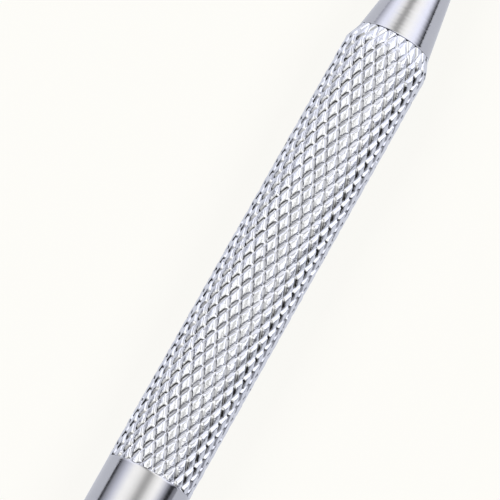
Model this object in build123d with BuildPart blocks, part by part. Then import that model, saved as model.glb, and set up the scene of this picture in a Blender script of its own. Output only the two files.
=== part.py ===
"""Pocket scriber: a knurled grip, a collet chuck, a carbide-tipped point and a screwed hexagon cap.

Millimetres, +Z up. The scriber lies along X with its point towards +X. The origin is under the middle
of its length, on the surface that the grip and one flat of the cap rest on.
"""
import os
from math import radians, tan

from build123d import *

os.makedirs("parts", exist_ok=True)

# --- clearances --------------------------------------------------------------------------------
fit = 0.03  # radial, between pieces that turn or slide in one another
seat_gap = 0.03  # between faces that meet when the scriber is screwed together
push_fit = 0.01  # radial, between pieces that are pressed, glued or brazed together

# --- the point ---------------------------------------------------------------------------------
point_diameter = 2.0
point_reach = 26.0  # how far the tip stands out of the chuck nose
point_tail = 11.0  # how far the point runs back behind the front face of the grip
tip_diameter = 1.2
tip_stub = 3.0  # length of the carbide that is brazed into the shank
tip_stickout = 4.0  # length of the carbide in front of the shank
tip_cone = 2.6  # length of the ground cone at its end
tip_land = 0.03  # radius left at the very end
shank_nose_taper = 3.5  # length over which the steel narrows towards the carbide
shank_nose_wall = 0.15  # steel around the carbide at the mouth of its socket
tail_chamfer = 0.2

# --- the collet --------------------------------------------------------------------------------
collet_wall = 0.65
collet_stem = 6.0
collet_flare = 0.42  # how far the head stands out past the stem
collet_land = 0.9  # cylindrical part of the head
collet_cone = 3.8
collet_angle = 12.0  # degrees from the axis
collet_slot = 0.4
collet_slot_depth = 7.2  # from the front of the jaws
jaw_count = 4

# --- the collet spring -------------------------------------------------------------------------
spring_wire = 0.3
spring_length = 4.0
spring_turns = 5.5

# --- the chuck nose ----------------------------------------------------------------------------
nose_length = 12.0
nose_angle = 9.0  # degrees from the axis
nose_mouth_wall = 0.93  # around the thread, at the rim
nose_runout = 0.4  # bore in front of the threaded spigot
nose_edge = 0.15
thread_length = 3.0
thread_wall = 0.75  # of the grip's spigot, around the collet
thread_relief = 0.2  # depth of the groove behind the thread
relief_width = 0.5

# --- the grip and its shank --------------------------------------------------------------------
grip_diameter = 8.0
grip_length = 44.4
grip_chamfer_angle = 20.5  # degrees from the axis
knurl_rise = 0.05  # how far the knurl stands out of the plain shank
shank_edge = 0.3
guide_land = 2.0  # web with a small hole, between the spring and the handle's bore
guide_play = 0.15  # radial, around the point
handle_bore = 4.6

# --- the rubber buffer and the spare point -----------------------------------------------------
buffer_length = 3.5
buffer_gap = 0.5  # between the buffer and a point that is pushed right in
spare_gap = 1.0  # between the buffer and the spare point's tip
grommet_length = 3.5
grommet_wall = 0.75

# --- the cap -----------------------------------------------------------------------------------
cap_head = 9.0
cap_thread_step = 0.4  # how far the cap's thread stands out past the handle's bore
cap_thread_length = 4.2
cap_groove_width = 1.1
cap_collar = 0.5  # between the seal's groove and the head
cap_corner_angle = 30.0  # degrees from the end faces
cap_corner_rise = 0.6  # radius taken off the hexagon's corners at its ends
seal_section = 0.9
magnet_diameter = 5.0
magnet_length = 3.0
magnet_edge = 0.2

# --- sizes that follow -------------------------------------------------------------------------
collet_bore = point_diameter + 2 * fit
collet_stem_diameter = collet_bore + 2 * collet_wall
collet_seat = collet_stem_diameter + 2 * fit
collet_head_diameter = collet_stem_diameter + 2 * collet_flare
collet_head = collet_land + collet_cone
thread_diameter = collet_seat + 2 * thread_wall
nose_thread_bore = thread_diameter + 2 * fit
nose_rim = nose_thread_bore + 2 * nose_mouth_wall
collet_front_radius = collet_head_diameter / 2 - collet_cone * tan(radians(collet_angle))
shank_diameter = grip_diameter - 2 * knurl_rise
cap_thread_diameter = handle_bore + 2 * cap_thread_step
grip_chamfer = (grip_diameter - nose_rim) / 2 / tan(radians(grip_chamfer_angle))

shank_length_of_point = point_tail + nose_length + point_reach - tip_stickout
point_length = shank_length_of_point + tip_stickout
cap_spigot = cap_collar + cap_groove_width + cap_thread_length
cap_socket = cap_thread_diameter + 2 * fit
spare_seat = cap_spigot - grommet_length  # the spare point's tail, in front of the handle's end
point_travel = point_reach  # the point slides in until its tip is level with the nose
barrel_length = (
    point_tail + point_travel + buffer_gap + buffer_length + spare_gap + point_length + spare_seat
)
spring_seat_depth = collet_stem - thread_length + spring_length  # behind the front of the grip

# --- stations along the axis, from the back of the cap -----------------------------------------
barrel_rear = cap_head
grip_front = barrel_rear + barrel_length
grip_rear = grip_front - grip_length
spigot_front = grip_front + thread_length
collet_front = spigot_front + seat_gap + collet_head
nose_front = grip_front + nose_length
point_rear = grip_front - point_tail
buffer_front = point_rear - point_travel - buffer_gap
spare_rear = barrel_rear + spare_seat
overall_length = nose_front + point_reach

# --- planes ------------------------------------------------------------------------------------
axis_height = grip_diameter / 2
tool_axis = Axis((0, 0, axis_height), (1, 0, 0))
# X of this plane is the station along the scriber and Y is the radius
lengthwise = Plane(origin=(-overall_length / 2, 0, axis_height), x_dir=(1, 0, 0), z_dir=(0, -1, 0))


def across(station):
    """Plane square to the axis at a station, facing the point, with its Y upwards."""
    centre = (station - overall_length / 2, 0, axis_height)
    return Plane(origin=centre, x_dir=(0, 1, 0), z_dir=(1, 0, 0))


def finish(builder, name):
    """Name a finished piece and write it out."""
    builder.part.label = name
    export_step(builder.part, "parts/" + name + ".step")


# --- barrel: the knurled grip and the plain shank, turned from one bar ---------------------------
with BuildPart() as barrel:
    with BuildSketch(lengthwise):
        with BuildLine():
            Polyline(
                (barrel_rear, 0),
                (barrel_rear, shank_diameter / 2 - shank_edge),
                (barrel_rear + shank_edge, shank_diameter / 2),
                (grip_rear, shank_diameter / 2),
                (grip_rear, grip_diameter / 2),
                (grip_front - grip_chamfer, grip_diameter / 2),
                (grip_front, nose_rim / 2),
                (grip_front, thread_diameter / 2 - thread_relief),
                (grip_front + relief_width, thread_diameter / 2 - thread_relief),
                (grip_front + relief_width, thread_diameter / 2),
                (spigot_front, thread_diameter / 2),
                (spigot_front, 0),
                close=True,
            )
        make_face()
    revolve(axis=tool_axis)
    with Locations(across(spigot_front)):
        CounterBoreHole(
            radius=point_diameter / 2 + guide_play,
            counter_bore_radius=collet_seat / 2,
            counter_bore_depth=thread_length + spring_seat_depth,
            depth=thread_length + spring_seat_depth + guide_land + handle_bore,
        )
    with BuildSketch(across(barrel_rear)):
        Circle(handle_bore / 2)
    extrude(amount=barrel_length - spring_seat_depth - guide_land, mode=Mode.SUBTRACT)
    with BuildSketch(across(barrel_rear)):
        Circle(cap_socket / 2)
    extrude(amount=cap_spigot + seat_gap, mode=Mode.SUBTRACT)
    spigot_rim = barrel.edges().filter_by(GeomType.CIRCLE).group_by(Axis.X)[-1].sort_by(SortBy.RADIUS)[-1]
    chamfer(spigot_rim, thread_relief)
finish(barrel, "barrel")

# --- nose cone: screws onto the grip's spigot and closes the collet ------------------------------
nose_rear = grip_front + seat_gap
inner_cone_rear = spigot_front + seat_gap + collet_land
inner_cone_front = collet_front + nose_runout
nose_tip_radius = nose_rim / 2 - (nose_length - seat_gap) * tan(radians(nose_angle))
collet_room = collet_head_diameter / 2 + fit

with BuildPart() as nose_cone:
    with BuildSketch(lengthwise):
        with BuildLine():
            Polyline(
                (nose_rear, 0),
                (nose_rear, nose_rim / 2),
                (nose_front, nose_tip_radius),
                (nose_front, 0),
                close=True,
            )
        make_face()
    revolve(axis=tool_axis)
    fillet(nose_cone.edges().filter_by(GeomType.CIRCLE).sort_by(Axis.X)[-1], nose_edge)
    with BuildSketch(lengthwise):
        with BuildLine():
            Polyline(
                (nose_rear, 0),
                (nose_rear, nose_thread_bore / 2),
                (spigot_front, nose_thread_bore / 2),
                (spigot_front + nose_runout, collet_room),
                (inner_cone_rear, collet_room),
                (inner_cone_front, collet_room - (inner_cone_front - inner_cone_rear) * tan(radians(collet_angle))),
                (inner_cone_front, collet_bore / 2),
                (nose_front, collet_bore / 2),
                (nose_front, 0),
                close=True,
            )
        make_face()
    revolve(axis=tool_axis, mode=Mode.SUBTRACT)
finish(nose_cone, "nose_cone")

# --- collet: split jaws that grip the point --------------------------------------------------------
collet_back = spigot_front + seat_gap

with BuildPart() as collet:
    with BuildSketch(across(collet_back)):
        Circle(collet_stem_diameter / 2)
    extrude(amount=-collet_stem)
    with BuildSketch(lengthwise):
        with BuildLine():
            Polyline(
                (collet_back, 0),
                (collet_back, collet_head_diameter / 2),
                (collet_back + collet_land, collet_head_diameter / 2),
                (collet_front, collet_front_radius),
                (collet_front, 0),
                close=True,
            )
        make_face()
    revolve(axis=tool_axis)
    with Locations(across(collet_front)):
        Hole(collet_bore / 2)
    with BuildSketch(across(collet_front)):
        with PolarLocations(0, jaw_count):
            Rectangle(collet_head_diameter, collet_slot, align=(Align.MIN, Align.CENTER))
    extrude(amount=-collet_slot_depth, mode=Mode.SUBTRACT)
finish(collet, "collet")

# --- collet spring: pushes the collet forward as the nose is slackened -------------------------------
spring_rear = grip_front - spring_seat_depth + seat_gap
spring_run = spring_length - spring_wire - 2 * seat_gap
spring_radius = (collet_seat - spring_wire) / 2 - 2 * fit

with BuildPart() as collet_spring:
    with BuildLine() as coil:
        Helix(
            pitch=spring_run / spring_turns,
            height=spring_run,
            radius=spring_radius,
            center=across(spring_rear + spring_wire / 2).origin,
            direction=(1, 0, 0),
        )
    with BuildSketch(Plane(origin=coil.line @ 0, z_dir=coil.line % 0)):
        Circle(spring_wire / 2)
    sweep(path=coil.line, is_frenet=True)
finish(collet_spring, "collet_spring")

# --- the point and the spare: a steel shank with a brazed carbide tip --------------------------------
for prefix, rear in (("point", point_rear), ("spare", spare_rear)):
    shank_front = rear + shank_length_of_point
    socket_radius = tip_diameter / 2 + push_fit

    with BuildPart() as shank:
        with BuildSketch(lengthwise):
            with BuildLine():
                Polyline(
                    (rear, 0),
                    (rear, point_diameter / 2 - tail_chamfer),
                    (rear + tail_chamfer, point_diameter / 2),
                    (shank_front - shank_nose_taper, point_diameter / 2),
                    (shank_front, socket_radius + shank_nose_wall),
                    (shank_front, 0),
                    close=True,
                )
            make_face()
        revolve(axis=tool_axis)
        with Locations(across(shank_front)):
            Hole(socket_radius, depth=tip_stub + seat_gap)
    finish(shank, prefix + "_shank")

    with BuildPart() as tip:
        with BuildSketch(lengthwise):
            with BuildLine():
                Polyline(
                    (shank_front - tip_stub, 0),
                    (shank_front - tip_stub, tip_diameter / 2),
                    (shank_front + tip_stickout - tip_cone, tip_diameter / 2),
                    (shank_front + tip_stickout, tip_land),
                    (shank_front + tip_stickout, 0),
                    close=True,
                )
            make_face()
        revolve(axis=tool_axis)
    finish(tip, prefix + "_carbide_tip")

# --- rubber buffer: a plug in the bore that keeps the point and the spare apart ----------------------
with BuildPart() as bore_buffer:
    with BuildSketch(across(buffer_front)):
        Circle(handle_bore / 2 - push_fit)
    extrude(amount=-buffer_length)
    chamfer(bore_buffer.edges().filter_by(GeomType.CIRCLE), tail_chamfer)
finish(bore_buffer, "bore_buffer")

# --- hexagon cap: stops the scriber rolling, and closes the handle -----------------------------------
groove_front = barrel_rear + cap_collar + cap_groove_width
grommet_bore = point_diameter / 2 + push_fit
grommet_radius = grommet_bore + grommet_wall
seal_radius = cap_socket / 2 - fit - seal_section / 2
groove_radius = seal_radius - seal_section / 2 - fit
across_corners = RegularPolygon(grip_diameter / 2, 6, major_radius=False, mode=Mode.PRIVATE).bounding_box().size.X
corner_end_radius = across_corners / 2 - cap_corner_rise
corner_run = cap_corner_rise * tan(radians(cap_corner_angle))
head_front = barrel_rear - seat_gap

with BuildPart() as hex_cap:
    with BuildSketch(across(0)):
        RegularPolygon(grip_diameter / 2, 6, major_radius=False)
    extrude(amount=head_front)
    with BuildSketch(lengthwise):
        with BuildLine():
            Polyline(
                (0, 0),
                (0, corner_end_radius),
                (corner_run, across_corners / 2),
                (head_front - corner_run, across_corners / 2),
                (head_front, corner_end_radius),
                (head_front, 0),
                close=True,
            )
        make_face()
    revolve(axis=tool_axis, mode=Mode.INTERSECT)
    with BuildSketch(across(head_front)):
        Circle(cap_thread_diameter / 2)
    extrude(amount=cap_spigot)
    with BuildSketch(across(groove_front - cap_groove_width)):
        Circle(cap_thread_diameter)
        Circle(groove_radius, mode=Mode.SUBTRACT)
    extrude(amount=cap_groove_width, mode=Mode.SUBTRACT)
    with Locations(across(head_front + cap_spigot)):
        Hole(grommet_radius + push_fit, depth=grommet_length)
    with BuildSketch(across(0)):
        Circle(magnet_diameter / 2 + push_fit)
    extrude(amount=magnet_length + push_fit, mode=Mode.SUBTRACT)
finish(hex_cap, "hex_cap")

# --- magnet: glued into the back of the cap, for picking up small parts --------------------------------
with BuildPart() as magnet:
    with BuildSketch(across(0)):
        Circle(magnet_diameter / 2)
    extrude(amount=magnet_length)
    chamfer(magnet.edges().filter_by(GeomType.CIRCLE), magnet_edge)
finish(magnet, "magnet")

# --- seal: a rubber ring in the cap's groove, which keeps the cap from shaking loose -------------------
with BuildPart() as cap_seal:
    with BuildSketch(lengthwise):
        with Locations((groove_front - cap_groove_width / 2, seal_radius)):
            Circle(seal_section / 2)
    revolve(axis=tool_axis)
finish(cap_seal, "cap_seal")

# --- grommet: a rubber bush in the cap's spigot, which holds the spare point by its tail ---------------
with BuildPart() as spare_grommet:
    with BuildSketch(across(spare_rear)):
        Circle(grommet_radius)
        Circle(grommet_bore, mode=Mode.SUBTRACT)
    extrude(amount=grommet_length - seat_gap)
finish(spare_grommet, "spare_grommet")
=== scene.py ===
"""Looks of a pocket scriber: plated knurled grip, collet chuck, carbide point and hexagon cap.

Metres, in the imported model's frame: the scriber lies along X with its point towards +X.
"""

import logging
import math
from dataclasses import dataclass
from enum import Enum
from typing import Callable

import bmesh
import bpy
from mathutils import Matrix, Vector, noise


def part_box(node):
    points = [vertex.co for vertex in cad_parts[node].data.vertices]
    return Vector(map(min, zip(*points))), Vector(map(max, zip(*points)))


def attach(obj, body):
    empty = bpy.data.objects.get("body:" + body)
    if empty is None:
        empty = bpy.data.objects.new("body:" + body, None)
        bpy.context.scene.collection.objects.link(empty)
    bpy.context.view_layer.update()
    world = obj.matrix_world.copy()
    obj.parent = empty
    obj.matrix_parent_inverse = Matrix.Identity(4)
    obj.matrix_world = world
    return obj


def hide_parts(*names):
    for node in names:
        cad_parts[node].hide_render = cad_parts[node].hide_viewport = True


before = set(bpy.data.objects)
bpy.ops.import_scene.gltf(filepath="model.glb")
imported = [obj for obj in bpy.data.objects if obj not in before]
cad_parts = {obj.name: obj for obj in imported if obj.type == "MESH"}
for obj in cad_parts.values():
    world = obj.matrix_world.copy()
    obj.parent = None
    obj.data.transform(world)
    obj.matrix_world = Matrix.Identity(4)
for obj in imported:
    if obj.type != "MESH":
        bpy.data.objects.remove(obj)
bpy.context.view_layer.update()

logging.basicConfig(level=logging.INFO, format="%(message)s")
log = logging.getLogger("scriber")

MM = 0.001
MERGE = 0.0005 * MM  # vertices nearer than this are one
FULL_TURN = 2 * math.pi

Outline = list[tuple[float, float]]
RadiusRule = Callable[[float, float], float]


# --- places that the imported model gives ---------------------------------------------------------


def centre_line() -> float:
    """Height of the scriber's axis above the surface that it lies on."""
    low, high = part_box("barrel")
    return (low.z + high.z) / 2


AXIS_Z = centre_line()
SEAT_GAP = 0.03 * MM


def polar(point: Vector) -> tuple[float, float]:
    """Radius and angle of a point about the scriber's axis.

    Args:
        point: A place in the row frame.

    Returns:
        The distance from the axis, and the angle from straight up towards +Y.
    """
    return math.hypot(point.y, point.z - AXIS_Z), math.atan2(point.y, point.z - AXIS_Z)


def on_axis(station: float, radius: float, angle: float) -> Vector:
    """Place at a station along the scriber, a radius and an angle from straight up."""
    return Vector((station, radius * math.sin(angle), AXIS_Z + radius * math.cos(angle)))


# --- mesh work -----------------------------------------------------------------------------------


def spun(outline: Outline, steps: int, closed: bool = False) -> bmesh.types.BMesh:
    """Turn an outline about the scriber's axis.

    Args:
        outline: Stations and radii, in order along the surface.
        steps: Number of flat facets in a full turn.
        closed: Whether the last point joins the first, as round a bored piece.

    Returns:
        A mesh with welded seams and poles, its faces pointing outwards.
    """
    mesh = bmesh.new()
    points = [mesh.verts.new(on_axis(station, radius, 0)) for station, radius in outline]
    ends = list(zip(points, points[1:])) + ([(points[-1], points[0])] if closed else [])
    lines = [mesh.edges.new(pair) for pair in ends]
    bmesh.ops.spin(
        mesh,
        geom=points + lines,
        cent=(0, 0, AXIS_Z),
        axis=(1, 0, 0),
        angle=FULL_TURN,
        steps=steps,
        use_merge=True,
    )
    bmesh.ops.remove_doubles(mesh, verts=mesh.verts, dist=MERGE)
    bmesh.ops.dissolve_degenerate(mesh, edges=mesh.edges, dist=MERGE)
    bmesh.ops.recalc_face_normals(mesh, faces=mesh.faces)
    return mesh


def reshape(mesh: bmesh.types.BMesh, rule: RadiusRule, low: float, high: float) -> None:
    """Move the vertices between two stations to the radius that a rule gives.

    Args:
        mesh: The mesh to change.
        rule: Gives the largest radius at a station and an angle.
        low: First station that the rule applies to.
        high: Last station that the rule applies to.
    """
    for vertex in mesh.verts:
        if low - MERGE <= vertex.co.x <= high + MERGE:
            radius, angle = polar(vertex.co)
            limit = rule(vertex.co.x, angle)
            if radius > limit:
                vertex.co = on_axis(vertex.co.x, limit, angle)


def carry(mesh: bmesh.types.BMesh, edges: list, outline: Outline, rule: RadiusRule | None = None) -> list:
    """Extrude an open ring of edges along an outline, keeping each vertex at its own angle.

    Args:
        mesh: The mesh to extend.
        edges: The open ring.
        outline: Stations and radii to visit in turn.
        rule: Gives the largest radius at a station and an angle, or None.

    Returns:
        The last ring's edges.
    """
    for station, radius in outline:
        made = bmesh.ops.extrude_edge_only(mesh, edges=edges)["geom"]
        edges = [item for item in made if isinstance(item, bmesh.types.BMEdge) and item.is_boundary]
        for vertex in {vertex for edge in edges for vertex in edge.verts}:
            angle = polar(vertex.co)[1]
            reach = radius if rule is None else min(radius, rule(station, angle))
            vertex.co = on_axis(station, reach, angle)
    return edges


def piece(name: str, mesh: bmesh.types.BMesh, materials: list, sharp: float = 35) -> bpy.types.Object:
    """Make an object of a finished mesh.

    Args:
        name: The piece's name.
        mesh: Its mesh, which is freed.
        materials: Its materials, in slot order.
        sharp: Angle in degrees above which an edge shades as a sharp one.

    Returns:
        The new object, at the origin.
    """
    data = bpy.data.meshes.new(name)
    mesh.to_mesh(data)
    mesh.free()
    for material in materials:
        data.materials.append(material)
    data.shade_smooth()
    data.set_sharp_from_angle(angle=math.radians(sharp))
    made = bpy.data.objects.new(name, data)
    bpy.context.scene.collection.objects.link(made)
    log.info("%s: %d faces", name, len(data.polygons))
    return made


def seat(made: bpy.types.Object, body: str, node: str) -> bpy.types.Object:
    """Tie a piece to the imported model.

    Args:
        made: The piece.
        body: The body that it rides on.
        node: The node that it stands for.

    Returns:
        The same piece.
    """
    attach(made, body)
    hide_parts(node)
    return made


@dataclass(frozen=True)
class Thread:
    """A right-handed V thread cut into a cylinder.

    Attributes:
        major: Radius over the crests.
        pitch: Advance in one turn.
        depth: Depth of the V.
        start: Station where the first turn has its full depth.
        stop: Station where the last turn has its full depth.
    """

    major: float
    pitch: float
    depth: float
    start: float
    stop: float

    def radius(self, station: float, angle: float) -> float:
        """Radius of the thread's flank at a station and an angle."""
        phase = (station / self.pitch + angle / FULL_TURN) % 1.0
        cut = 1 - abs(2 * phase - 1)
        inside = min(station - self.start, self.stop - station) / (self.pitch / 2)
        return self.major - self.depth * cut * max(0.0, min(1.0, 1 + inside))

    def stations(self, low: float, high: float) -> list[float]:
        """Evenly spaced stations, eight to a pitch, between two ends."""
        count = max(2, round((high - low) / self.pitch * 8))
        return [low + (high - low) * step / count for step in range(1, count)]


# --- materials -----------------------------------------------------------------------------------


def linear(code: str) -> tuple[float, float, float, float]:
    """Turn an sRGB hex colour to linear.

    Args:
        code: Six hex digits after a hash sign.

    Returns:
        Red, green, blue and an alpha of 1, for a colour socket.
    """
    shares = [int(code[place : place + 2], 16) / 255 for place in (1, 3, 5)]
    red, green, blue = (c / 12.92 if c <= 0.04045 else ((c + 0.055) / 1.055) ** 2.4 for c in shares)
    return red, green, blue, 1.0


def add_node(tree: bpy.types.NodeTree, kind: str, inputs: dict | None = None, **settings) -> bpy.types.Node:
    """Add a node with its settings, values and links.

    Args:
        tree: The node tree to add to.
        kind: The node's type name.
        inputs: Socket names or numbers, each with a value or the output that links to it.
        settings: The node's own attributes.

    Returns:
        The new node.
    """
    node = tree.nodes.new(kind)
    for name, value in settings.items():
        setattr(node, name, value)
    for name, value in (inputs or {}).items():
        if isinstance(value, bpy.types.NodeSocket):
            tree.links.new(value, node.inputs[name])
        else:
            node.inputs[name].default_value = value
    return node


def reckon(
    tree: bpy.types.NodeTree, operation: str, *values: float | bpy.types.NodeSocket, **settings
) -> bpy.types.NodeSocket:
    """Add a maths node.

    Args:
        tree: The node tree to add to.
        operation: What the node does.
        values: Its inputs in order.
        settings: The node's other attributes.

    Returns:
        The node's result.
    """
    node = add_node(tree, "ShaderNodeMath", dict(enumerate(values)), operation=operation, **settings)
    return node.outputs["Value"]


def blank(name: str) -> tuple[bpy.types.Material, bpy.types.NodeTree, bpy.types.Node]:
    """Start a material.

    Args:
        name: The material's name.

    Returns:
        The material, its node tree and its shader.
    """
    material = bpy.data.materials.new(name)
    material.use_nodes = True
    tree = material.node_tree
    tree.nodes.clear()
    shader = add_node(tree, "ShaderNodeBsdfPrincipled")
    add_node(tree, "ShaderNodeOutputMaterial", {"Surface": shader.outputs["BSDF"]})
    return material, tree, shader


class Lay(Enum):
    """Which way the marks of a finish run."""

    ROUND = "rings round the axis, as from a lathe or a centreless grinder"
    EVEN = "no direction, as moulded, tumbled or rolled"


@dataclass(frozen=True)
class Surface:
    """A finish made of a colour, a roughness and fine marks.

    Attributes:
        name: The material's common name and how it was made.
        colour: Colour where the surface is clean.
        shade: Colour where it is dull or stained.
        roughness: Least and greatest roughness.
        mark: Spacing of the marks.
        height: Height of the marks.
        lay: Which way the marks run.
        metallic: 1 for a metal, 0 for rubber.
        patch: Size of the dull patches.
    """

    name: str
    colour: str
    shade: str
    roughness: tuple[float, float]
    mark: float
    height: float
    lay: Lay
    metallic: float = 1.0
    patch: float = 1.5 * MM

    def build(self) -> bpy.types.Material:
        """Make the material.

        Returns:
            A node material that reads Object coordinates.
        """
        material, tree, shader = blank(self.name)
        place = add_node(tree, "ShaderNodeTexCoord").outputs["Object"]
        patches = add_node(
            tree,
            "ShaderNodeTexNoise",
            {"Vector": place, "Scale": 1 / self.patch, "Detail": 4.0, "Roughness": 0.6},
        )
        tint = add_node(
            tree,
            "ShaderNodeMix",
            {"Factor": patches.outputs["Fac"], 6: linear(self.colour), 7: linear(self.shade)},
            data_type="RGBA",
        )
        tree.links.new(tint.outputs[2], shader.inputs["Base Color"])
        marks = self.marks(tree, place)
        spread = add_node(
            tree,
            "ShaderNodeMapRange",
            {
                "Value": marks,
                "From Min": 0.3,
                "From Max": 0.7,
                "To Min": self.roughness[0],
                "To Max": self.roughness[1],
            },
        )
        tree.links.new(spread.outputs["Result"], shader.inputs["Roughness"])
        bump = add_node(tree, "ShaderNodeBump", {"Height": marks, "Distance": self.height, "Strength": 1.0})
        tree.links.new(bump.outputs["Normal"], shader.inputs["Normal"])
        shader.inputs["Metallic"].default_value = self.metallic
        return material

    def marks(self, tree: bpy.types.NodeTree, place: bpy.types.NodeSocket) -> bpy.types.NodeSocket:
        """Add the fine marks.

        Args:
            tree: The material's node tree.
            place: The Object coordinates.

        Returns:
            A height from 0 to 1.
        """
        stretch = (1.0, 0.02, 0.02) if self.lay is Lay.ROUND else (1.0, 1.0, 1.0)
        mapped = add_node(tree, "ShaderNodeMapping", {"Vector": place, "Scale": stretch})
        grain = add_node(
            tree,
            "ShaderNodeTexNoise",
            {"Vector": mapped.outputs["Vector"], "Scale": 1 / self.mark, "Detail": 3.0, "Roughness": 0.65},
        )
        return grain.outputs["Fac"]


# Nickel-chrome plate over a turned bar: a bright, slightly cool mirror with the lathe's faint rings.
TURNED_PLATE = Surface(
    name="nickel_chrome_plate_turned",
    colour="#C6C6CA",
    shade="#BDBDC3",
    roughness=(0.10, 0.17),
    mark=0.19 * MM,
    height=0.0012 * MM,
    lay=Lay.ROUND,
)
# The same plate in the knurl's rolled grooves: burnished by the rolls, so nearly a mirror. Its colour is
# painted lighter than the turned plate's, a painted highlight on the grip.
ROLLED_PLATE_PAINTED_LIGHTER = Surface(
    name="nickel_chrome_plate_rolled_painted_lighter",
    colour="#E2E3E8",
    shade="#D8D9E0",
    roughness=(0.02, 0.06),
    mark=0.20 * MM,
    height=0.002 * MM,
    lay=Lay.EVEN,
    patch=0.4 * MM,
)
# The same plate over the knurl's diamonds, which the rolls didn't reach: a folded, wormy mirror. Its colour
# is painted lighter than the turned plate's, a painted highlight on the grip.
KNURL_TOP_PLATE_PAINTED_LIGHTER = Surface(
    name="nickel_chrome_plate_folded_painted_lighter",
    colour="#E4E5EA",
    shade="#D6D8E0",
    roughness=(0.02, 0.06),
    mark=0.26 * MM,
    height=0.045 * MM,
    lay=Lay.EVEN,
    patch=0.4 * MM,
)
# The same plate over the drawn hexagon bar: smooth flats with hardly a mark.
DRAWN_PLATE = Surface(
    name="nickel_chrome_plate_drawn",
    colour="#C4C5CC",
    shade="#BCBDC5",
    roughness=(0.10, 0.20),
    mark=0.35 * MM,
    height=0.0015 * MM,
    lay=Lay.EVEN,
)
# Hardened tool steel, centreless ground: a satin grey with the finest rings.
GROUND_STEEL = Surface(
    name="tool_steel_ground",
    colour="#AFAFB1",
    shade="#A3A3A6",
    roughness=(0.20, 0.34),
    mark=0.06 * MM,
    height=0.0010 * MM,
    lay=Lay.ROUND,
)
# Tungsten carbide, diamond ground: darker and a little warmer than steel, with a dull sparkle.
CARBIDE = Surface(
    name="tungsten_carbide_ground",
    colour="#7C7B7C",
    shade="#6C6B6D",
    roughness=(0.26, 0.42),
    mark=0.05 * MM,
    height=0.0015 * MM,
    lay=Lay.ROUND,
)
# Silver solder at the carbide's root: a pale yellow metal line.
BRAZE = Surface(
    name="silver_solder_flowed",
    colour="#CFC3A2",
    shade="#B7A983",
    roughness=(0.25, 0.40),
    mark=0.12 * MM,
    height=0.004 * MM,
    lay=Lay.EVEN,
)
# Hardened spring steel left oiled: a darker, smooth grey.
SPRING_STEEL = Surface(
    name="spring_steel_oiled",
    colour="#8F8F92",
    shade="#7F7F83",
    roughness=(0.22, 0.34),
    mark=0.10 * MM,
    height=0.0015 * MM,
    lay=Lay.ROUND,
)
# Nickel plate on the magnet: slightly yellow beside the chrome.
MAGNET_NICKEL = Surface(
    name="nickel_plate_tumbled",
    colour="#C3BEB4",
    shade="#B4AEA3",
    roughness=(0.14, 0.26),
    mark=0.25 * MM,
    height=0.002 * MM,
    lay=Lay.EVEN,
)
# Nitrile rubber, moulded: a matt black with a faint bloom.
RUBBER = Surface(
    name="nitrile_rubber_moulded",
    colour="#1C1C1D",
    shade="#28282A",
    metallic=0.0,
    roughness=(0.50, 0.68),
    mark=0.12 * MM,
    height=0.004 * MM,
    lay=Lay.EVEN,
)


# --- the barrel ----------------------------------------------------------------------------------


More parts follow.
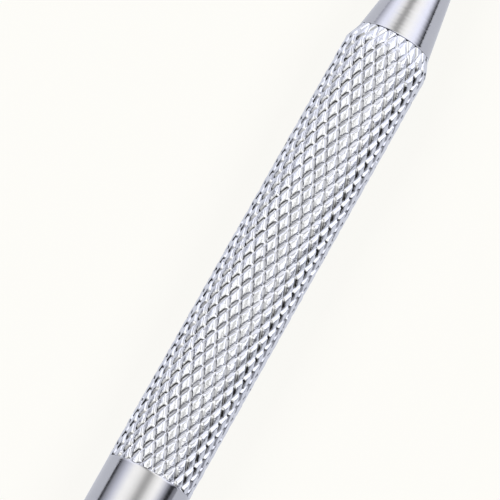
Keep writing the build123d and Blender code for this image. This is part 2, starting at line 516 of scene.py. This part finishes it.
@dataclass
class Knurl:
    """A diamond knurl: narrow V grooves rolled both ways, with a low rough diamond between them.

    Attributes:
        radius: Radius over the diamonds.
        rear: Station of its back end.
        front: Station of its front end.
        chamfer: Length of the chamfer at its front.
        rim: Radius where the chamfer ends.
        starts: Grooves each way round.
        pitch: Advance from one groove to the next along the axis.
        depth: Depth of the grooves.
        flank: Half width of a groove, as a share of the groove spacing.
        rounding: Roundness of a groove's bottom and of its shoulders, as a share of the spacing.
        crown: How far a diamond's edges lie under its middle.
        rough: Height of the folds on the diamonds.
        folds: Sizes of the large and the small folds.
        small_folds: Height of the small folds, as a share of the large ones.
        fold_middle: Mean depth of the folds, as a share of their height.
        cells: Mesh cells from one groove to the next.
        pull: How strongly the mesh lines gather at the grooves.
        chamfer_loss: Share of the depth that is lost at the chamfer's front edge.
        crossing: Station and angle of one place where two grooves cross.
    """

    radius: float
    rear: float
    front: float
    chamfer: float
    rim: float
    starts: int = 21
    pitch: float = 2.205 * MM
    depth: float = 0.28 * MM
    flank: float = 0.17
    rounding: float = 0.03
    crown: float = 0.04 * MM
    rough: float = 0.035 * MM
    folds: tuple[float, float] = (0.36 * MM, 0.19 * MM)
    small_folds: float = 0.6
    fold_middle: float = 0.5
    cells: int = 8
    pull: float = 0.55
    chamfer_loss: float = 0.45
    crossing: tuple[float, float] = (20.00 * MM, math.radians(3.9))

    def envelope(self, station: float) -> float:
        """Radius over the diamonds at a station, with the front chamfer."""
        run = max(0.0, station - (self.front - self.chamfer)) / self.chamfer
        return self.radius - (self.radius - self.rim) * run

    def aside(self, a: float, b: float) -> float:
        """Distance from a place to the nearest groove, in groove spacings."""
        return min(abs(a - round(a)), abs(b - round(b)))

    def sink(self, a: float, b: float, place: Vector) -> float:
        """Depth of the surface under the diamonds' tops.

        Args:
            a: Place across the first set of grooves, in spacings.
            b: Place across the second set of grooves, in spacings.
            place: The same place in the row frame, for the folds of a diamond's top.

        Returns:
            The depth in metres.
        """
        aside = self.aside(a, b)
        blunt = math.sqrt(aside * aside + self.rounding**2) - self.rounding
        run = 1 - blunt / (self.flank - self.rounding)
        cut = 0.5 * (run + math.sqrt(run * run + (self.rounding / self.flank) ** 2))
        slack = (1 - min(1.0, aside / 0.5)) ** 2
        large, small = self.folds
        folds = noise.noise(place / large) + self.small_folds * noise.noise(place / small)
        dip = self.crown * slack + self.rough * (self.fold_middle + folds) * (1 - min(1.0, cut))
        return max(0.0, (self.depth - self.crown) * min(1.0, cut) + dip)

    def gather(self, place: float) -> float:
        """Move a mesh line nearer to the groove beside it."""
        return place - self.pull * math.sin(FULL_TURN * place) / FULL_TURN

    def surface(self) -> bmesh.types.BMesh:
        """Make the knurled surface, open at both ends.

        Returns:
            A mesh whose first and last rings are its open ends.
        """
        mesh = bmesh.new()
        side = 2 * math.ceil((self.starts + (self.front - self.rear) / self.pitch) / 2) + 4
        bmesh.ops.create_grid(mesh, x_segments=side * self.cells, y_segments=side * self.cells, size=side / 2)
        for vertex in mesh.verts:
            vertex.co.xy = self.gather(vertex.co.x), self.gather(vertex.co.y)
        # from groove spacings (a, b) to station and angle: both grow with a, and b runs against the station
        step = FULL_TURN / self.starts
        middle = (self.rear + self.front) / 2
        station, angle = self.crossing
        origin = station + round((middle - station) / self.pitch) * self.pitch
        lattice = Matrix(
            (
                (self.pitch / 2, -self.pitch / 2, 0, origin),
                (step / 2, step / 2, 0, angle),
                (0, 0, 1, 0),
                (0, 0, 0, 1),
            )
        )
        bmesh.ops.transform(mesh, verts=mesh.verts, matrix=lattice)
        for place, outward in (
            ((self.rear, 0, 0), (-1, 0, 0)),
            ((self.front, 0, 0), (1, 0, 0)),
            ((0, angle - math.pi, 0), (0, -1, 0)),
            ((0, angle + math.pi, 0), (0, 1, 0)),
        ):
            bmesh.ops.bisect_plane(
                mesh,
                geom=mesh.verts[:] + mesh.edges[:] + mesh.faces[:],
                plane_co=place,
                plane_no=outward,
                dist=1e-7,
                clear_outer=True,
            )
        for face in mesh.faces:
            centre = face.calc_center_median()
            turns = (centre.y - angle) / step
            run = (centre.x - origin) / self.pitch
            face.material_index = 2 if self.aside(turns + run, turns - run) > self.flank else 1
        for vertex in mesh.verts:
            turns = (vertex.co.y - angle) / step
            run = (vertex.co.x - origin) / self.pitch
            fade = 1 - self.chamfer_loss * max(0.0, vertex.co.x - (self.front - self.chamfer)) / self.chamfer
            crest = self.envelope(vertex.co.x)
            place = on_axis(vertex.co.x, crest, vertex.co.y)
            depth = self.sink(turns + run, turns - run, place) * fade
            vertex.co = on_axis(vertex.co.x, crest - depth, vertex.co.y)
        bmesh.ops.remove_doubles(mesh, verts=mesh.verts, dist=MERGE)
        return mesh


@dataclass
class Barrel:
    """The knurled grip and the plain shank, turned from one bar and plated."""

    grip_length: float = 44.4 * MM
    chamfer: float = 1.553 * MM
    shank_step: float = 0.05 * MM
    shank_edge: float = 0.3 * MM
    thread_depth: float = 0.2 * MM
    thread_pitch: float = 0.5 * MM
    relief: float = 0.5 * MM
    spigot_radius: float = 2.46 * MM
    web: float = 2.0 * MM
    seat_depth: float = 7.0 * MM
    seat_radius: float = 1.71 * MM
    guide_radius: float = 1.15 * MM
    bore_radius: float = 2.3 * MM
    socket_radius: float = 2.73 * MM
    socket_depth: float = 5.83 * MM

    def build(
        self, turned: bpy.types.Material, rolled: bpy.types.Material, top: bpy.types.Material
    ) -> bpy.types.Object:
        """Model the barrel as one closed skin.

        Args:
            turned: Finish of the plain surfaces.
            rolled: Finish of the grip's grooves, its colour painted lighter than the turned plate's as a
                painted highlight.
            top: Finish of the grip's diamonds, its colour painted lighter than the turned plate's as a
                painted highlight.

        Returns:
            The barrel, seated on the handle's body.
        """
        low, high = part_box("barrel")
        nose_low, nose_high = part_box("nose_cone")
        front = nose_low.x - SEAT_GAP
        rear = front - self.grip_length
        rim = (nose_high.z - nose_low.z) / 2
        knurl = Knurl(
            radius=(high.z - low.z) / 2,
            rear=rear,
            front=front,
            chamfer=self.chamfer,
            rim=rim,
        )
        mesh = knurl.surface()
        ends = [edge for edge in mesh.edges if edge.is_boundary]
        back_ring = [edge for edge in ends if edge.verts[0].co.x < (front + rear) / 2]
        front_ring = [edge for edge in ends if edge.verts[0].co.x > (front + rear) / 2]
        web_front = front - self.seat_depth
        back_end = self.carry_back(mesh, back_ring, low.x, rear, knurl.radius, web_front - self.web)
        front_end = self.carry_front(mesh, front_ring, front, high.x, web_front)
        bmesh.ops.bridge_loops(mesh, edges=back_end + front_end)
        for face in mesh.faces:
            inside = all(
                rear - MERGE <= vertex.co.x <= front + MERGE and polar(vertex.co)[0] > rim - knurl.depth
                for vertex in face.verts
            )
            face.material_index = face.material_index if inside else 0
        bmesh.ops.recalc_face_normals(mesh, faces=mesh.faces)
        made = piece("barrel_knurled_and_turned", mesh, [turned, rolled, top], 50)
        return seat(made, "handle", "barrel")

    def carry_back(
        self, mesh: bmesh.types.BMesh, ring: list, end: float, start: float, crest: float, web_rear: float
    ) -> list:
        """Carry the knurl's back ring along the shank, round its end and up the bore.

        Args:
            mesh: The barrel's mesh.
            ring: The knurl's open back ring.
            end: Station of the barrel's back face.
            start: Station of the knurl's back end.
            crest: Radius over the knurl.
            web_rear: Station of the web's back face.

        Returns:
            The edges of the last ring, in the web's hole.
        """
        shank = crest - self.shank_step
        outline = [
            (start, shank - 0.03 * MM),
            (start - 0.05 * MM, shank),
            (start - 0.2 * MM, shank),
            (end + self.shank_edge + 0.2 * MM, shank),
            (end + self.shank_edge, shank),
            (end + self.shank_edge * 0.6, shank - self.shank_edge * 0.12),
            (end + self.shank_edge * 0.12, shank - self.shank_edge * 0.6),
            (end, shank - self.shank_edge),
            (end, self.socket_radius),
            (end + self.socket_depth, self.socket_radius),
            (end + self.socket_depth, self.bore_radius),
            (web_rear, self.bore_radius),
            (web_rear, self.guide_radius),
        ]
        return carry(mesh, ring, outline)

    def carry_front(
        self, mesh: bmesh.types.BMesh, ring: list, start: float, end: float, web_front: float
    ) -> list:
        """Carry the knurl's front ring over the threaded spigot and down the collet's seat.

        Args:
            mesh: The barrel's mesh.
            ring: The knurl's open front ring.
            start: Station of the knurl's front end.
            end: Station of the spigot's front face.
            web_front: Station of the web's front face.

        Returns:
            The edges of the last ring, in the web's hole.
        """
        major = self.spigot_radius
        root = major - self.thread_depth
        thread = Thread(major, self.thread_pitch, self.thread_depth, start + self.relief, end)
        ring = carry(mesh, ring, [(start, root), (start + self.relief, root)])
        turns = thread.stations(start + self.relief, end)
        ring = carry(mesh, ring, [(station, major) for station in turns], thread.radius)
        seat_outline = [
            (end, root),
            (end, self.seat_radius),
            (web_front, self.seat_radius),
            (web_front, self.guide_radius),
        ]
        return carry(mesh, ring, seat_outline)


# --- the chuck nose ------------------------------------------------------------------------------


@dataclass
class NoseCone:
    """The tapered nose that screws on and closes the collet."""

    feed: float = 0.19 * MM
    ring_depth: float = 0.020 * MM
    ring_unevenness: float = 0.7
    tip_edge: float = 0.15 * MM
    tip_blend: float = 0.02 * MM
    hole_edge: float = 0.06 * MM
    relief_slope: float = 0.4 * MM
    mouth_length: float = 0.15 * MM
    mouth_edge: float = 0.12 * MM
    rim_edge: float = 0.04 * MM
    thread_bore: float = 2.49 * MM
    thread_end: float = 3.0 * MM
    collet_room: float = 2.13 * MM
    cone_rear: float = 3.9 * MM
    cone_front: float = 8.1 * MM
    cone_angle: float = math.radians(12.0)
    point_hole: float = 1.03 * MM
    taper: float = math.radians(9.0)
    steps: int = 144

    def build(self, turned: bpy.types.Material) -> bpy.types.Object:
        """Model the nose with its turning rings and its bore.

        Args:
            turned: Its finish.

        Returns:
            The nose, seated on its body.
        """
        low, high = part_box("nose_cone")
        rim = (high.z - low.z) / 2
        length = high.x - low.x
        slope = math.tan(self.taper)
        tip = rim - length * slope
        outline = [(low.x, rim - self.rim_edge), (low.x + self.rim_edge, rim - self.rim_edge * slope)]
        turned_length = length - self.rim_edge - self.tip_edge
        rings = round(turned_length / self.feed)
        for ring in range(1, 2 * rings):
            station = low.x + self.rim_edge + turned_length * ring / (2 * rings)
            uneven = 1 + self.ring_unevenness * noise.noise(Vector((ring * 0.61, 0, 0)))
            dip = self.ring_depth * uneven if ring % 2 else 0.0
            outline.append((station, rim - (station - low.x) * slope - dip))
        for share in range(5):
            angle = math.radians(90) * share / 4
            blend = self.tip_blend * (1 - share / 4)
            station = high.x - self.tip_edge * (1 - math.sin(angle))
            outline.append((station, tip + self.tip_edge * (math.cos(angle) - 1) + blend))
        cone_length = self.cone_front - self.cone_rear
        outline += [
            (high.x, self.point_hole + self.hole_edge),
            (high.x - self.hole_edge, self.point_hole),
            (low.x + self.cone_front, self.point_hole),
            (low.x + self.cone_front, self.collet_room - cone_length * math.tan(self.cone_angle)),
            (low.x + self.cone_rear, self.collet_room),
            (low.x + self.thread_end + self.relief_slope, self.collet_room),
            (low.x + self.thread_end, self.thread_bore),
            (low.x + self.mouth_length, self.thread_bore),
            (low.x, self.thread_bore + self.mouth_edge),
        ]
        made = piece("nose_cone_turned", spun(outline, self.steps, closed=True), [turned])
        return seat(made, "chuck_nose", "nose_cone")


# --- the point -----------------------------------------------------------------------------------


@dataclass
class ScribingPoint:
    """The ground steel shank with its brazed carbide tip."""

    tail_edge: float = 0.2 * MM
    nose_taper: float = 3.5 * MM
    mouth: float = 0.76 * MM
    stub: float = 3.0 * MM
    tip_radius: float = 0.6 * MM
    tip_cone: float = 2.6 * MM
    tip_land: float = 0.03 * MM
    steps: int = 64

    def build(
        self, steel: bpy.types.Material, carbide: bpy.types.Material, braze: bpy.types.Material
    ) -> None:
        """Model the shank and its tip.

        Args:
            steel: Finish of the shank.
            carbide: Finish of the tip.
            braze: Finish of the solder at the tip's root.
        """
        low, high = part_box("point_shank")
        radius = (high.z - low.z) / 2
        socket = self.tip_radius + 0.01 * MM
        outline = [
            (low.x, 0),
            (low.x, radius - self.tail_edge),
            (low.x + self.tail_edge * 0.2, radius - self.tail_edge * 0.7),
            (low.x + self.tail_edge * 0.7, radius - self.tail_edge * 0.2),
            (low.x + self.tail_edge, radius),
            (high.x - self.nose_taper - 0.3 * MM, radius),
            (high.x - self.nose_taper, radius - 0.005 * MM),
            (high.x - self.nose_taper + 0.3 * MM, radius - 0.02 * MM),
            (high.x - 0.05 * MM, self.mouth),
            (high.x, self.mouth - 0.05 * MM),
            (high.x, socket + 0.04 * MM),
            (high.x - 0.04 * MM, socket),
            (high.x - self.stub - 0.02 * MM, socket),
            (high.x - self.stub - 0.02 * MM, 0),
        ]
        mesh = spun(outline, self.steps)
        for face in mesh.faces:
            centre = face.calc_center_median()
            if centre.x > high.x - 0.12 * MM and polar(centre)[0] < self.mouth:
                face.material_index = 1
        seat(piece("point_shank_ground", mesh, [steel, braze]), "scribing_point", "point_shank")

        low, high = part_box("point_carbide_tip")
        shoulder = high.x - self.tip_cone
        outline = [
            (low.x, 0),
            (low.x, self.tip_radius - 0.05 * MM),
            (low.x + 0.05 * MM, self.tip_radius),
            (shoulder - 0.1 * MM, self.tip_radius),
            (shoulder + 0.05 * MM, self.tip_radius - 0.012 * MM),
            (high.x - 0.4 * MM, self.tip_land + 0.088 * MM),
            (high.x - 0.03 * MM, self.tip_land + 0.006 * MM),
            (high.x - 0.01 * MM, self.tip_land * 0.7),
            (high.x, 0),
        ]
        mesh = spun(outline, self.steps)
        tip = piece("point_carbide_tip_ground", mesh, [carbide])
        seat(tip, "scribing_point", "point_carbide_tip")


# --- the cap -------------------------------------------------------------------------------------


@dataclass
class HexCap:
    """The anti-roll cap with its threaded spigot, seal and magnet."""

    head: float = 8.97 * MM
    corner_rise: float = 0.6 * MM
    collar: float = 0.53 * MM
    groove: float = 1.1 * MM
    groove_radius: float = 1.77 * MM
    thread_radius: float = 2.7 * MM
    thread_depth: float = 0.25 * MM
    thread_pitch: float = 0.5 * MM
    grommet_hole: float = 1.77 * MM
    grommet_depth: float = 3.5 * MM
    magnet_hole: float = 2.51 * MM
    magnet_depth: float = 3.01 * MM
    steps: int = 180

    def flat(self, station: float, angle: float) -> float:
        """Largest radius inside the hexagon at an angle from straight up."""
        low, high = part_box("hex_cap")
        away = (angle + math.pi / 6) % (math.pi / 3) - math.pi / 6
        return (high.z - low.z) / 2 / math.cos(away)

    def build(self, drawn: bpy.types.Material) -> bpy.types.Object:
        """Model the cap.

        Args:
            drawn: Its finish.

        Returns:
            The cap, seated on its body.
        """
        low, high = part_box("hex_cap")
        start, end = low.x, high.x
        corner = (high.y - low.y) / 2
        run = self.corner_rise * math.tan(math.radians(30))
        front = start + self.head
        slope = [(run * share / 5, corner - self.corner_rise * (1 - share / 5)) for share in range(6)]
        outline = [(start + self.magnet_depth, 0), (start + self.magnet_depth, self.magnet_hole)]
        outline += [(start + 0.1 * MM, self.magnet_hole), (start, self.magnet_hole + 0.1 * MM)]
        outline += [(start + along, radius) for along, radius in slope]
        outline += [(front - along, radius) for along, radius in reversed(slope)]
        groove_start = front + self.collar
        groove_end = groove_start + self.groove
        outline += [
            (front, self.thread_radius),
            (groove_start, self.thread_radius),
            (groove_start, self.groove_radius),
            (groove_end, self.groove_radius),
            (groove_end, self.thread_radius - self.thread_depth),
        ]
        thread = Thread(self.thread_radius, self.thread_pitch, self.thread_depth, groove_end, end)
        outline += [(station, self.thread_radius) for station in thread.stations(groove_end, end)]
        outline += [
            (end, self.thread_radius - self.thread_depth),
            (end, self.grommet_hole),
            (end - self.grommet_depth, self.grommet_hole),
            (end - self.grommet_depth, 0),
        ]
        mesh = spun(outline, self.steps)
        reshape(mesh, self.flat, start, front)
        reshape(mesh, thread.radius, groove_end + MERGE * 4, end - MERGE * 4)
        return seat(piece("hex_cap_drawn", mesh, [drawn], 28), "end_cap", "hex_cap")


@dataclass
class Magnet:
    """The pick-up magnet glued into the back of the cap."""

    edge: float = 0.2 * MM
    steps: int = 96

    def build(self, nickel: bpy.types.Material) -> bpy.types.Object:
        """Model the magnet.

        Args:
            nickel: Its finish.

        Returns:
            The magnet, seated on the cap's body.
        """
        low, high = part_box("magnet")
        radius = (high.z - low.z) / 2
        arc = [math.radians(90) * share / 3 for share in range(4)]
        outline = [(low.x, 0)]
        outline += [
            (
                low.x + self.edge * (1 - math.sin(turn)),
                radius - self.edge * (1 - math.cos(math.pi / 2 - turn)),
            )
            for turn in arc
        ]
        outline += [(high.x - self.edge, radius), (high.x, radius - self.edge), (high.x, 0)]
        mesh = spun(outline, self.steps)
        return seat(piece("magnet_nickel", mesh, [nickel]), "end_cap", "magnet")


@dataclass
class Seal:
    """The rubber ring in the cap's groove."""

    section_steps: int = 20
    steps: int = 96

    def build(self, rubber: bpy.types.Material) -> bpy.types.Object:
        """Model the ring.

        Args:
            rubber: Its finish.

        Returns:
            The ring, seated on its body.
        """
        low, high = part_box("cap_seal")
        section = (high.x - low.x) / 2
        middle = (high.z - low.z) / 2 - section
        outline = [
            (
                (low.x + high.x) / 2 + section * math.cos(FULL_TURN * share / self.section_steps),
                middle + section * math.sin(FULL_TURN * share / self.section_steps),
            )
            for share in range(self.section_steps)
        ]
        mesh = spun(outline, self.steps, closed=True)
        return seat(piece("cap_seal_ring", mesh, [rubber]), "seal_ring", "cap_seal")


# --- what stays hidden inside ---------------------------------------------------------------------


class Hidden(Enum):
    """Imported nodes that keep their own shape, and the finish of each."""

    COLLET = ("collet", "spring_steel")
    COLLET_SPRING = ("collet_spring", "spring_steel")
    BUFFER = ("bore_buffer", "rubber")
    GROMMET = ("spare_grommet", "rubber")
    SPARE_SHANK = ("spare_shank", "steel")
    SPARE_TIP = ("spare_carbide_tip", "carbide")


def dress_hidden(finishes: dict[str, bpy.types.Material]) -> None:
    """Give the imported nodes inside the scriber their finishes.

    Args:
        finishes: Materials by short name.
    """
    for hidden in Hidden:
        node, finish = hidden.value
        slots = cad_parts[node].data.materials
        slots.clear()
        slots.append(finishes[finish])
        log.info("%s: %s", node, finish)


# --- studio --------------------------------------------------------------------------------------


@dataclass
class Studio:
    """A pale floor under a light tent, and the camera."""

    floor_size: float = 3.0
    tent_radius: float = 1.2
    tent_gap: float = 8.0  # degrees to the camera's right of straight up, where the tent is greyest
    tent_brightest: float = 1.72
    # Share of that brightness: by degrees from the gap, and by slanted height in radii, for each half.
    gap_shares: tuple[tuple[float, float], ...] = ((0, 0.36), (6, 0.46), (14, 0.76), (24, 0.95), (32, 1.0))
    left_shares: tuple[tuple[float, float], ...] = (
        (0.02, 0.02),
        (0.24, 0.03),
        (0.34, 0.26),
        (0.52, 0.46),
        (0.72, 0.72),
        (0.90, 0.94),
    )
    right_shares: tuple[tuple[float, float], ...] = (
        (0.30, 0.22),
        (0.36, 0.02),
        (0.50, 0.02),
        (0.62, 0.26),
        (0.73, 0.56),
        (0.86, 0.88),
        (0.95, 1.0),
    )
    tent_slant: float = 0.9  # height that each metre towards the point counts as
    tent_edge: float = 0.1  # half width, in radii, of the blend between the tent's halves
    cool_from: float = math.radians(38)  # lean from straight up where the tent's light starts to cool
    cool_to: float = math.radians(60)
    floor_seen: float = 0.88  # share of the paper that the camera sees as plain white
    floor_mirrored: float = 0.85  # share of it that reflections see as a cool white
    world_share: float = 0.35  # brightness of the surroundings for all but the camera
    lamp_distance: float = 0.55
    camera_distance: float = 0.60
    frame_width: float = 43.55 * MM  # what the camera sees at the scriber's distance
    elevation: float = math.radians(76.73)
    turn: float = math.radians(28.79)  # of the camera's forward direction, from the scriber's axis
    aside: float = 2.08 * MM  # of the scriber's axis from the picture's centre, square to the axis
    behind: float = 22.49 * MM  # of the picture's centre from the grip's front end, towards the cap
    image_tilt: float = math.radians(29.45)  # of the scriber in the picture

    def show(self, name: str, mesh: bmesh.types.BMesh, material: bpy.types.Material) -> bpy.types.Object:
        """Put a piece of the studio in place.

        Args:
            name: Its name.
            mesh: Its mesh, which is freed.
            material: Its material.

        Returns:
            The new object, linked to the scene.
        """
        data = bpy.data.meshes.new(name)
        mesh.to_mesh(data)
        mesh.free()
        data.materials.append(material)
        made = bpy.data.objects.new(name, data)
        bpy.context.scene.collection.objects.link(made)
        return made

    def floor(self) -> None:
        """Lay the pale paper that the scriber rests on."""
        mesh = bmesh.new()
        bmesh.ops.create_grid(mesh, x_segments=4, y_segments=4, size=self.floor_size / 2)
        material, tree, shader = blank("paper_matt")
        path = add_node(tree, "ShaderNodeLightPath")
        shader.inputs["Base Color"].default_value = linear("#F4F3EE")
        shader.inputs["Roughness"].default_value = 0.9
        shader.inputs["Specular IOR Level"].default_value = 0.0
        seen = add_node(tree, "ShaderNodeEmission", {"Color": linear("#FFFEFA"), "Strength": 1.0})
        mirrored = add_node(tree, "ShaderNodeEmission", {"Color": linear("#E9ECF5"), "Strength": 1.0})
        share = reckon(tree, "MULTIPLY", path.outputs["Is Camera Ray"], self.floor_seen)
        plain = add_node(
            tree,
            "ShaderNodeMixShader",
            {0: share, 1: shader.outputs["BSDF"], 2: seen.outputs["Emission"]},
        )
        gloss = reckon(tree, "MULTIPLY", path.outputs["Is Glossy Ray"], self.floor_mirrored)
        both = add_node(
            tree,
            "ShaderNodeMixShader",
            {0: gloss, 1: plain.outputs["Shader"], 2: mirrored.outputs["Emission"]},
        )
        out = next(node for node in tree.nodes if node.type == "OUTPUT_MATERIAL")
        tree.links.new(both.outputs["Shader"], out.inputs["Surface"])
        self.show("floor", mesh, material)

    def ramp(
        self, tree: bpy.types.NodeTree, value: bpy.types.NodeSocket, stops: tuple[tuple[float, float], ...]
    ) -> bpy.types.NodeSocket:
        """Add a grey ramp.

        Args:
            tree: The node tree.
            value: What the ramp runs over, from 0 to 1.
            stops: Places and their greys.

        Returns:
            The ramp's colour.
        """
        ramp = add_node(tree, "ShaderNodeValToRGB", {"Fac": value})
        elements = ramp.color_ramp.elements
        elements.remove(elements[1])
        for number, (position, level) in enumerate(stops):
            stop = elements.new(position) if number else elements[0]
            stop.position = position
            stop.color = (level, level, level, 1)
        return ramp.outputs["Color"]

    def tent(self) -> None:
        """Raise the light tent: bright to both sides, greyer overhead, black along its foot."""
        mesh = bmesh.new()
        bmesh.ops.create_icosphere(mesh, subdivisions=5, radius=self.tent_radius)
        bmesh.ops.bisect_plane(
            mesh,
            geom=mesh.verts[:] + mesh.edges[:] + mesh.faces[:],
            plane_co=(0, 0, -1 * MM),
            plane_no=(0, 0, -1),
            clear_outer=True,
        )
        material = bpy.data.materials.new("tent_cloth")
        material.use_nodes = True
        tree = material.node_tree
        tree.nodes.clear()
        place = add_node(tree, "ShaderNodeTexCoord").outputs["Object"]
        split = add_node(tree, "ShaderNodeSeparateXYZ", {"Vector": place})
        height = reckon(tree, "MULTIPLY_ADD", split.outputs["X"], self.tent_slant, split.outputs["Z"])
        share = reckon(tree, "DIVIDE", height, self.tent_radius)
        right_half = self.ramp(tree, share, self.right_shares)
        left_half = self.ramp(tree, share, self.left_shares)
        blend = self.tent_edge * self.tent_radius
        side = add_node(
            tree,
            "ShaderNodeMapRange",
            {"Value": split.outputs["Y"], "From Min": -blend, "From Max": blend},
        )
        edge = add_node(
            tree,
            "ShaderNodeMix",
            {"Factor": side.outputs["Result"], 6: right_half, 7: left_half},
            data_type="RGBA",
        )
        across = add_node(
            tree,
            "ShaderNodeVectorMath",
            {0: place, 1: (math.sin(self.turn), -math.cos(self.turn), 0)},
            operation="DOT_PRODUCT",
        )
        turned = reckon(tree, "ARCTAN2", across.outputs["Value"], split.outputs["Z"])
        away = reckon(tree, "SUBTRACT", turned, math.radians(self.tent_gap))
        off_share = reckon(tree, "DIVIDE", reckon(tree, "ABSOLUTE", away), math.radians(90))
        gap_stops = tuple((degrees / 90, level) for degrees, level in self.gap_shares)
        gap = self.ramp(tree, off_share, gap_stops)
        both = reckon(tree, "MULTIPLY", edge.outputs[2], gap)
        strength = reckon(tree, "MULTIPLY", both, self.tent_brightest)
        upright = reckon(tree, "DIVIDE", split.outputs["Z"], self.tent_radius, use_clamp=True)
        lean = reckon(tree, "ARCCOSINE", upright)
        cool = add_node(
            tree,
            "ShaderNodeMapRange",
            {"Value": lean, "From Min": self.cool_from, "From Max": self.cool_to},
        )
        tint = add_node(
            tree,
            "ShaderNodeMix",
            {"Factor": cool.outputs["Result"], 6: linear("#FFFEF8"), 7: linear("#F2F4FF")},
            data_type="RGBA",
        )
        glow = add_node(tree, "ShaderNodeEmission", {"Color": tint.outputs[2], "Strength": strength})
        add_node(tree, "ShaderNodeOutputMaterial", {"Surface": glow.outputs["Emission"]})
        made = self.show("light_tent", mesh, material)
        made.visible_camera = False
        made.visible_diffuse = False
        made.visible_transmission = False
        made.visible_shadow = False

    def lamp(self, name: str, side: float, lean: float, across: float, along: float, power: float) -> None:
        """Hang a soft box over the scriber.

        Args:
            name: The lamp's name.
            side: 1 for the +Y side, -1 for the -Y side.
            lean: Angle from straight up, in degrees.
            across: Its width square to the scriber.
            along: Its length along the scriber.
            power: Its power in watts.
        """
        lamp = bpy.data.lights.new(name, "AREA")
        lamp.shape = "RECTANGLE"
        lamp.size = along
        lamp.size_y = across
        lamp.energy = power
        made = bpy.data.objects.new(name, lamp)
        angle = math.radians(lean)
        away = Vector((0, side * math.sin(angle), math.cos(angle)))
        made.location = away * self.lamp_distance
        made.rotation_mode = "QUATERNION"
        turned = Matrix((Vector((1, 0, 0)), away.cross(Vector((1, 0, 0))), away)).transposed()
        made.rotation_quaternion = turned.to_quaternion()
        made.visible_glossy = False
        bpy.context.scene.collection.objects.link(made)

    def world(self) -> None:
        """Light the surroundings evenly, white to the eye."""
        world = bpy.data.worlds.new("studio")
        bpy.context.scene.world = world
        world.use_nodes = True
        tree = world.node_tree
        tree.nodes.clear()
        path = add_node(tree, "ShaderNodeLightPath")
        strength = add_node(
            tree,
            "ShaderNodeMapRange",
            {"Value": path.outputs["Is Camera Ray"], "To Min": self.world_share, "To Max": 1.0},
        )
        sky = add_node(
            tree,
            "ShaderNodeBackground",
            {"Color": linear("#FEFDF8"), "Strength": strength.outputs["Result"]},
        )
        add_node(tree, "ShaderNodeOutputWorld", {"Surface": sky.outputs["Background"]})

    def camera(self) -> None:
        """Point the camera down at the grip, along a long lens."""
        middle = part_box("nose_cone")[0].x - SEAT_GAP - self.behind
        forward = Vector((math.cos(self.turn), math.sin(self.turn), 0))
        view = forward * math.cos(self.elevation) - Vector((0, 0, 1)) * math.sin(self.elevation)
        right = view.cross(Vector((0, 0, 1))).normalized()
        up = right.cross(view)
        beside = right * math.cos(self.image_tilt) - up * math.sin(self.image_tilt)
        aim = Vector((middle, 0, AXIS_Z)) - beside * self.aside
        lens = bpy.data.cameras.new("camera")
        lens.sensor_width = 36.0
        lens.lens = 18.0 / (self.frame_width / 2 / self.camera_distance)
        lens.clip_start = 0.01
        lens.clip_end = 20.0
        made = bpy.data.objects.new("camera", lens)
        made.location = aim - view * self.camera_distance
        made.rotation_mode = "QUATERNION"
        made.rotation_quaternion = Matrix((right, up, -view)).transposed().to_quaternion()
        bpy.context.scene.collection.objects.link(made)
        bpy.context.scene.camera = made

    def build(self) -> None:
        """Set up the floor, the tent, the lamps and the camera."""
        self.floor()
        self.tent()
        self.world()
        self.lamp("soft_box_left", side=1, lean=36, across=0.30, along=0.80, power=1.6)
        self.lamp("soft_box_right", side=-1, lean=36, across=0.26, along=0.80, power=1.6)
        self.camera()
        bpy.context.scene.view_settings.view_transform = "Standard"


def main() -> None:
    """Build the scriber's pieces, dress them and set up the studio."""
    turned = TURNED_PLATE.build()
    steel = GROUND_STEEL.build()
    carbide = CARBIDE.build()
    rubber = RUBBER.build()
    Barrel().build(turned, ROLLED_PLATE_PAINTED_LIGHTER.build(), KNURL_TOP_PLATE_PAINTED_LIGHTER.build())
    NoseCone().build(turned)
    ScribingPoint().build(steel, carbide, BRAZE.build())
    HexCap().build(DRAWN_PLATE.build())
    Magnet().build(MAGNET_NICKEL.build())
    Seal().build(rubber)
    dress_hidden({"spring_steel": SPRING_STEEL.build(), "rubber": rubber, "steel": steel, "carbide": carbide})
    Studio().build()


if __name__ == "__main__":
    main()
